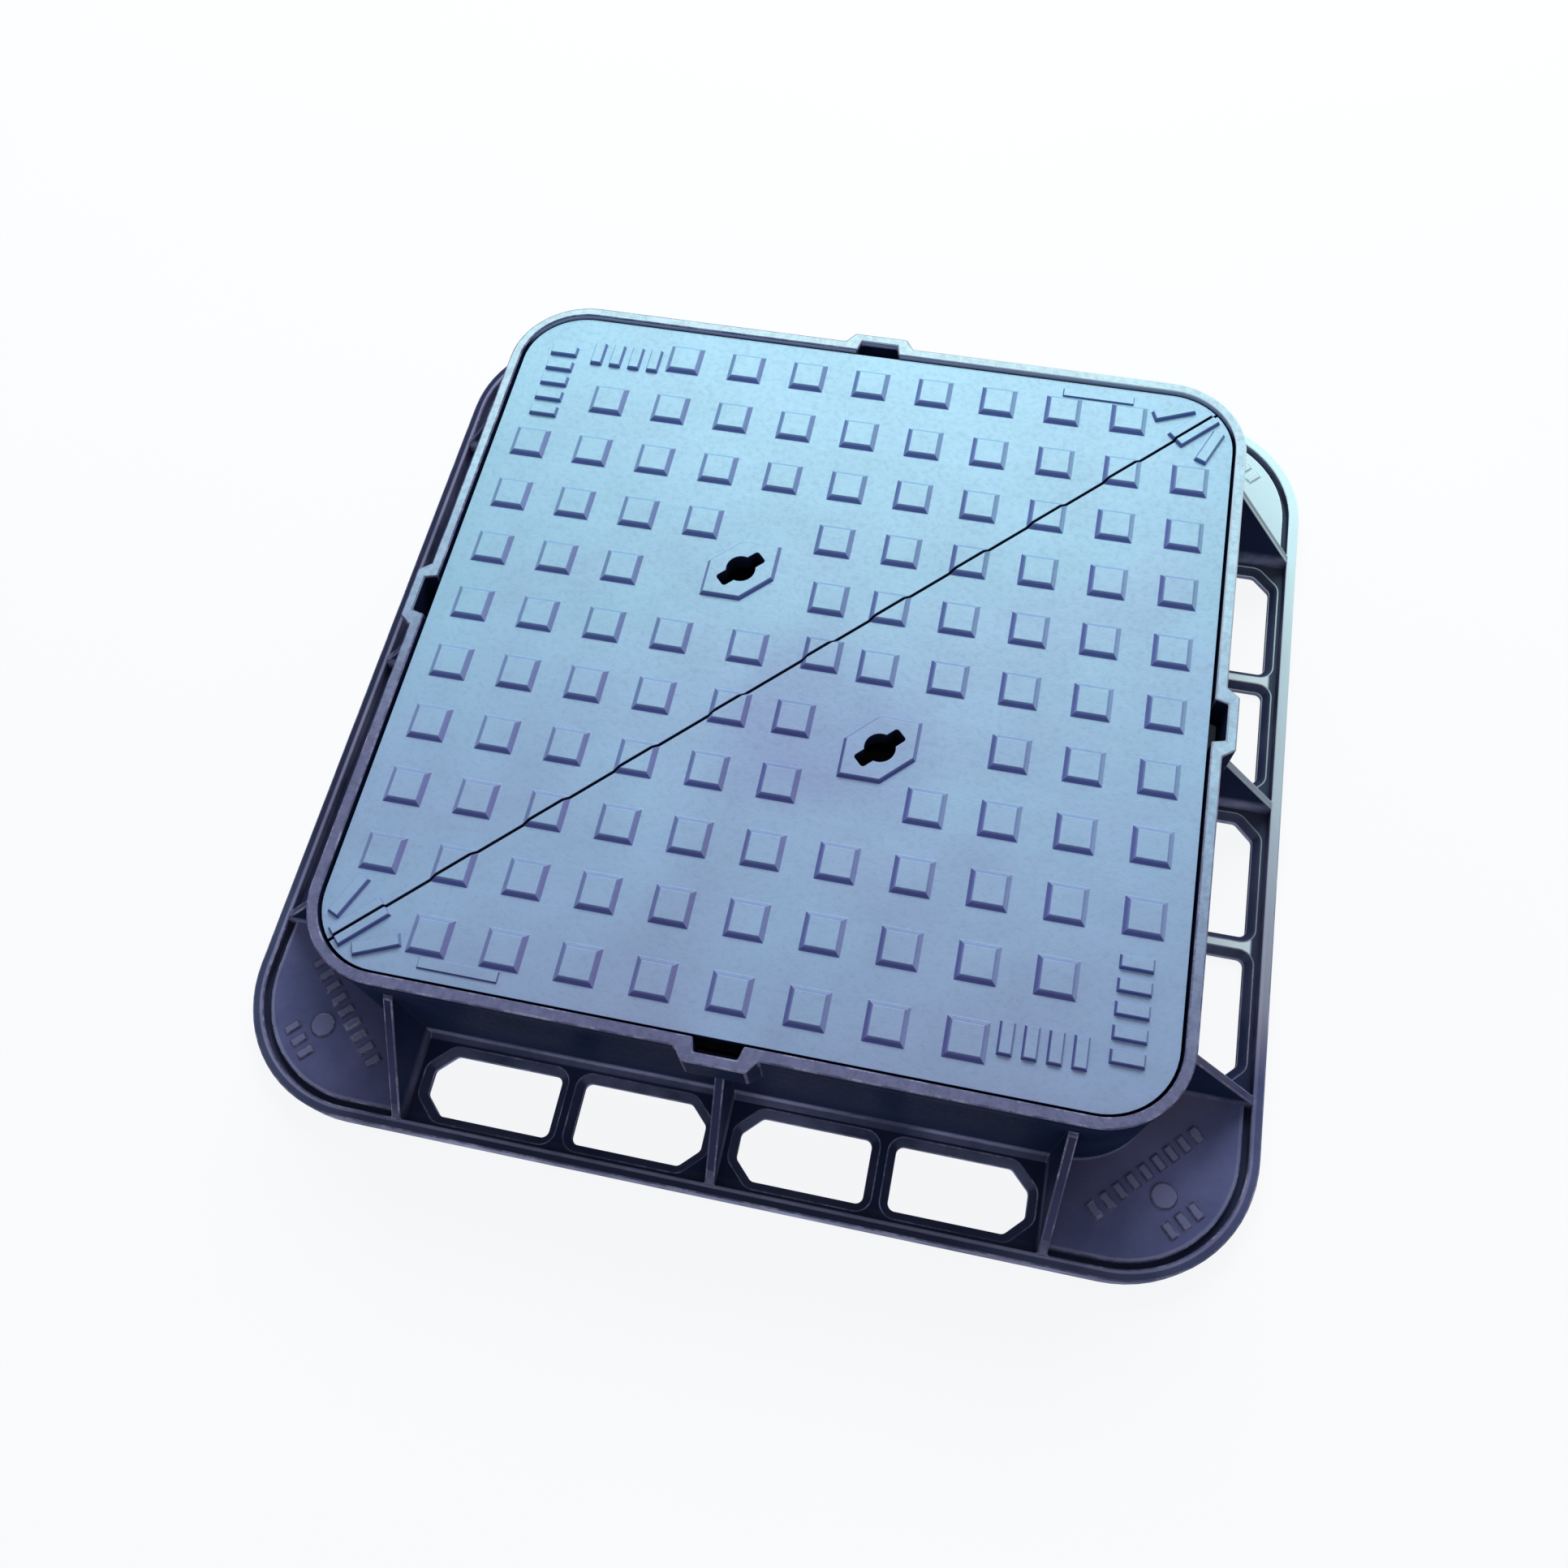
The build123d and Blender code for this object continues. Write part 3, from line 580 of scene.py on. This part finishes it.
# ------------------------------------------------------------------ plastic and steel
def plastic():
    coat = Coat("cup_plastic")
    blotch = coat.noise(PLASTIC_BLOTCH_SCALE)
    coat.shade("Base Color", coat.ramp(blotch, PLASTIC_TONES))
    coat.shade("Roughness", coat.ramp(blotch, PLASTIC_ROUGHNESS))
    coat.bump((coat.noise(PLASTIC_GRAIN_SCALE), PLASTIC_GRAIN_DEPTH))
    return coat.material


def plated_steel():
    coat = Coat("fastener_steel")
    blotch = coat.noise(STEEL_BLOTCH_SCALE, detail=6.0)
    coat.shade("Base Color", coat.ramp(blotch, STEEL_TONES))
    coat.shade("Roughness", coat.ramp(blotch, STEEL_ROUGHNESS))
    coat.shade("Metallic", STEEL_METALLIC)
    coat.bump((coat.noise(STEEL_GRAIN_SCALE), STEEL_GRAIN_DEPTH))
    return coat.material


# ------------------------------------------------------------------ castings
def link_piece(name, mesh, body, slot, *nodes_replaced):
    piece = bpy.data.objects.new(name, mesh)
    bpy.context.scene.collection.objects.link(piece)
    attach(piece, body)
    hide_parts(*nodes_replaced)
    return piece


def sharp_edges(bm):
    shared = [edge for edge in bm.edges if len(edge.link_faces) == 2]
    return [edge for edge in shared if edge.calc_face_angle(0.0) > SHARP_ANGLE]


def is_outer(face):
    """True for a face on a rounded outer edge, False in a rounded inner corner."""
    return sum(edge.calc_face_angle_signed(0.0) for edge in face.edges if len(edge.link_faces) == 2) > 0


def reach(edge):
    """How far an edge's nearer and farther ends lie from the middle, along the frame's sides."""
    return sorted(max(abs(vert.co.x), abs(vert.co.y)) for vert in edge.verts)


def low_and_high(edge):
    return sorted(vert.co.z for vert in edge.verts)


def on_ledge(edge):
    low, high = low_and_high(edge)
    return reach(edge)[1] < POCKET_HALF and LEDGE_ZONE[0] < low and high < LEDGE_ZONE[1]


def round_window(edge):
    near, far = reach(edge)
    return WINDOW_ZONE[0] < near and far < WINDOW_ZONE[1] and low_and_high(edge)[1] < WINDOW_TOP


def elsewhere(edge):
    return not on_ledge(edge) and not round_window(edge)


def everywhere(edge):
    return True


def casting(node, name, body, slot, roundings, material, edge_material=None):
    """A copy of a CAD node with its flat faces joined up and every sharp edge rounded, by its place."""
    mesh = frame["nodes"][node].data.copy()
    mesh.materials.clear()
    mesh.materials.append(material)
    mesh.materials.append(edge_material or material)
    bm = bmesh.new()
    bm.from_mesh(mesh)
    bmesh.ops.remove_doubles(bm, verts=bm.verts, dist=MERGE_DISTANCE)
    bmesh.ops.dissolve_limit(bm, angle_limit=FLAT_ANGLE, verts=bm.verts, edges=bm.edges)
    for width, chosen in roundings:
        bmesh.ops.bevel(bm, geom=[edge for edge in sharp_edges(bm) if chosen(edge)], offset=width,
                        offset_type="OFFSET", segments=EDGE_STEPS, profile=0.5, affect="EDGES",
                        clamp_overlap=False, loop_slide=True, material=1)
    bmesh.ops.remove_doubles(bm, verts=bm.verts, dist=MERGE_DISTANCE)
    for face in bm.faces:
        face.smooth = True
        if face.material_index and not is_outer(face):
            face.material_index = 0
    bm.to_mesh(mesh)
    bm.free()
    mesh.name = name
    piece = link_piece(name, mesh, body, slot, node)
    weighted = piece.modifiers.new("weighted_normals", "WEIGHTED_NORMAL")
    weighted.weight = 100
    weighted.keep_sharp = False


# ------------------------------------------------------------------ turned parts
def turned(name, rows, origin, axes, closed, material, body, slot, node):
    """A skin over rings of points. A row is a height and a radius, or a function from angle to radius."""
    bm = bmesh.new()
    first_axis, second_axis, along = axes
    rings = []
    for height, radius in rows:
        ring = []
        for column in range(COLUMNS):
            angle = math.tau * column / COLUMNS
            distance = radius(angle) if callable(radius) else radius
            spoke = first_axis * math.cos(angle) + second_axis * math.sin(angle)
            ring.append(bm.verts.new(origin + spoke * distance + along * height))
        rings.append(ring)
    for ring, after in zip(rings, rings[1:] + rings[:1] if closed else rings[1:]):
        for column in range(COLUMNS):
            beside = (column + 1) % COLUMNS
            bm.faces.new((ring[column], ring[beside], after[beside], after[column]))
    if not closed:
        bm.faces.new(rings[0])
        bm.faces.new(rings[-1])
    bmesh.ops.recalc_face_normals(bm, faces=bm.faces)
    for face in bm.faces:
        face.smooth = True
    mesh = bpy.data.meshes.new(name)
    bm.to_mesh(mesh)
    bm.free()
    mesh.materials.append(material)
    mesh.set_sharp_from_angle(angle=SHARP_ANGLE)
    link_piece(name, mesh, body, slot, node)


def hexagon(cone_radius):
    """Radius by angle of a hexagon with a corner on the first axis, cut down to a cone's radius."""
    def radius(angle):
        return min(HEX_APOTHEM / math.cos(angle % SIXTH_TURN - SIXTH_TURN / 2), cone_radius)
    return radius


def hexagon_chamfer(end, inward):
    """Rows from a chamfered end face of a hexagon to its full corners."""
    rows = []
    for step in range(HEX_CHAMFER_ROWS + 1):
        widening = (HEX_CORNER - HEX_CHAMFER_RADIUS) * step / HEX_CHAMFER_ROWS
        rows.append((end + inward * widening * HEX_CHAMFER_SLOPE, hexagon(HEX_CHAMFER_RADIUS + widening)))
    return rows


def thread(height, depth, limit):
    """Radius by angle of a screw thread at one height, no larger than the limit."""
    def radius(angle):
        phase = (height / THREAD_PITCH - angle / math.tau) % 1.0
        valley = min(max(THREAD_STEEPNESS * abs(2 * phase - 1) - THREAD_CREST, 0.0), 1.0)
        return min(THREAD_RADIUS - depth * valley, limit)
    return radius


def thread_rows(tip):
    """Thread from the tip, with a bevelled start and a run-out of one pitch."""
    count = round(THREAD_LENGTH / THREAD_PITCH) * ROWS_PER_PITCH
    rows = []
    for step in range(count + 1):
        along = THREAD_LENGTH * step / count
        depth = THREAD_DEPTH * min(1.0, (THREAD_LENGTH - along) / THREAD_PITCH)
        rows.append((tip + along, thread(along, depth, TIP_RADIUS + along)))
    return rows


def coupling_frame(number):
    """Where a bolt's line crosses the split, and the directions across and along the line."""
    low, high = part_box(f"head_washer_{number}")
    hinge = next(joint for joint in frame["joints"] if joint["name"] == "cover_fold")
    across_line = -Vector(hinge["axis"]).normalized()
    upward = Vector((0, 0, 1))
    along = upward.cross(across_line)
    middle = (low + high) / 2
    return middle - along * middle.dot(along), (across_line, upward, along)


def extent(node, along):
    """Lowest and highest place of a CAD node along a direction."""
    places = [vertex.co.dot(along) for vertex in frame["nodes"][node].data.vertices]
    return min(places), max(places)


def washer_rows(low, high):
    hole, rim = WASHER_RADII
    return [(low, hole + WASHER_BREAK), (low, rim - WASHER_ROUND), (low + WASHER_ROUND, rim),
            (high - WASHER_ROUND, rim), (high, rim - WASHER_ROUND), (high, hole + WASHER_BREAK),
            (high - WASHER_BREAK, hole), (low + WASHER_BREAK, hole)]


def bolt_rows(tip, top):
    seat = top - HEAD_THICKNESS
    head = [(seat, THREAD_RADIUS), (seat, HEX_CHAMFER_RADIUS), (seat + WASHER_FACE, HEX_CHAMFER_RADIUS),
            (seat + WASHER_FACE, hexagon(HEX_CORNER))]
    return thread_rows(tip) + head + hexagon_chamfer(top, -1)[::-1]


def nut_rows(low, high):
    bore = [(high, BORE_RADIUS + BORE_SINK), (high - BORE_SINK, BORE_RADIUS), (low + BORE_SINK, BORE_RADIUS),
            (low, BORE_RADIUS + BORE_SINK)]
    return hexagon_chamfer(low, 1) + hexagon_chamfer(high, -1)[::-1] + bore


def make_couplings(steel):
    for number in (1, 2):
        origin, axes = coupling_frame(number)
        for node, rows, closed in (("coupling_bolt", bolt_rows, False), ("coupling_nut", nut_rows, True),
                                   ("head_washer", washer_rows, True), ("nut_washer", washer_rows, True)):
            low, high = extent(f"{node}_{number}", axes[2])
            turned(f"{node}_{number}_turned", rows(low, high), origin, axes, closed, steel,
                   "left_cover", "fastener_steel", f"{node}_{number}")


def cup_rows(low, high):
    """From the middle of the underside, up the outside and down the inside to the middle of the floor."""
    inner = CUP_RADIUS - CUP_WALL
    floor = low + CUP_WALL
    return [(low, CUP_HUB), (low, CUP_RADIUS - FOOT_ROUND), (low + FOOT_RISE, CUP_RADIUS - FOOT_INSET),
            (low + FOOT_ROUND, CUP_RADIUS), (high - CUP_LIP, CUP_RADIUS), (high, CUP_RADIUS - CUP_LIP),
            (high, inner + CUP_LIP), (high - CUP_LIP, inner), (floor + CORNER_ROUND, inner),
            (floor + CORNER_STEP, inner - CORNER_STEP), (floor, inner - CORNER_ROUND), (floor, CUP_HUB)]


def make_cups(material):
    upright = (Vector((1, 0, 0)), Vector((0, 1, 0)), Vector((0, 0, 1)))
    for side in ("left", "right"):
        low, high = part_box(f"key_cup_{side}")
        origin = Vector(((low.x + high.x) / 2, (low.y + high.y) / 2, 0.0))
        turned(f"key_cup_{side}_moulded", cup_rows(low.z, high.z), origin, upright, False, material,
               f"{side}_cover", "cup_plastic", f"key_cup_{side}")


# ------------------------------------------------------------------ scene
def make_floor():
    """A white studio table, lit partly from within so that it stays pale under the part."""
    white = Coat("floor_white")
    white.shade("Base Color", white.ramp(white.noise(FLOOR_CLOUDS, detail=2.0), FLOOR_TONES))
    white.shade("Roughness", FLOOR_ROUGHNESS)
    white.shade("Specular IOR Level", 0.0)
    white.shade("Emission Color", FLOOR_GLOW_COLOUR)
    white.shade("Emission Strength", FLOOR_GLOW)
    mesh = bpy.data.meshes.new("floor")
    corners = [(x * FLOOR_HALF, y * FLOOR_HALF, 0) for x, y in ((-1, -1), (1, -1), (1, 1), (-1, 1))]
    mesh.from_pydata(corners, [], [(0, 1, 2, 3)])
    mesh.materials.append(white.material)
    floor = bpy.data.objects.new("floor", mesh)
    bpy.context.scene.collection.objects.link(floor)


def direction(azimuth, elevation):
    """From the part towards a place: the azimuth turns from the front to the right, both are in degrees."""
    azimuth, elevation = math.radians(azimuth), math.radians(elevation)
    return Vector((math.sin(azimuth) * math.cos(elevation), -math.cos(azimuth) * math.cos(elevation),
                   math.sin(elevation)))


def make_key_light():
    """A wide soft box behind the part, facing its middle."""
    towards = direction(KEY_AZIMUTH, KEY_ELEVATION)
    data = bpy.data.lights.new("key_back", "AREA")
    data.shape = "RECTANGLE"
    data.size, data.size_y = KEY_SIZE
    data.energy = KEY_POWER
    data.color = KEY_COLOUR
    light = bpy.data.objects.new("key_back", data)
    light.location = Vector((0, 0, FRAME_TOP)) + towards * KEY_DISTANCE
    light.rotation_euler = towards.to_track_quat("Z", "Y").to_euler()
    bpy.context.scene.collection.objects.link(light)


def make_sky():
    """A dim even sky that the camera sees as a pale backdrop."""
    world = bpy.data.worlds.new("studio")
    world.use_nodes = True
    nodes, links = world.node_tree.nodes, world.node_tree.links
    background = nodes["Background"]
    background.inputs["Color"].default_value = (*SKY_COLOUR, 1.0)
    background.inputs["Strength"].default_value = SKY_STRENGTH
    backdrop = nodes.new("ShaderNodeBackground")
    backdrop.inputs["Color"].default_value = (*BACKDROP, 1.0)
    seen = nodes.new("ShaderNodeMixShader")
    links.new(nodes.new("ShaderNodeLightPath").outputs["Is Camera Ray"], seen.inputs["Fac"])
    links.new(background.outputs["Background"], seen.inputs[1])
    links.new(backdrop.outputs["Background"], seen.inputs[2])
    links.new(seen.outputs["Shader"], nodes["World Output"].inputs["Surface"])
    bpy.context.scene.world = world
    bpy.context.scene.view_settings.view_transform = "Standard"


def make_camera():
    back = direction(CAMERA_AZIMUTH, CAMERA_ELEVATION)
    data = bpy.data.cameras.new("camera")
    data.lens = CAMERA_LENS
    data.sensor_width = SENSOR_WIDTH
    camera = bpy.data.objects.new("camera", data)
    aimed = (-back).to_track_quat("-Z", "Y").to_matrix().to_4x4()
    rolled = Matrix.Rotation(math.radians(CAMERA_ROLL), 4, "Z")
    camera.matrix_world = Matrix.Translation(CAMERA_AIM + back * CAMERA_DISTANCE) @ aimed @ rolled
    bpy.context.scene.collection.objects.link(camera)
    bpy.context.scene.camera = camera


def make_castings():
    cover = cover_coat()
    casting("frame", "frame_casting", "frame", "frame_iron",
            [(LEDGE_EDGE, on_ledge), (WINDOW_EDGE, round_window), (FRAME_EDGE, elsewhere)],
            frame_coat(), worn_and_highlit_edge())
    casting("cover_half_left", "cover_left_casting", "left_cover", "cover_iron",
            [(COVER_EDGE, everywhere)], cover)
    casting("cover_half_right", "cover_right_casting", "right_cover", "cover_iron",
            [(COVER_EDGE, everywhere)], cover)


make_castings()
make_couplings(plated_steel())
make_cups(plastic())
make_floor()
make_key_light()
make_sky()
make_camera()
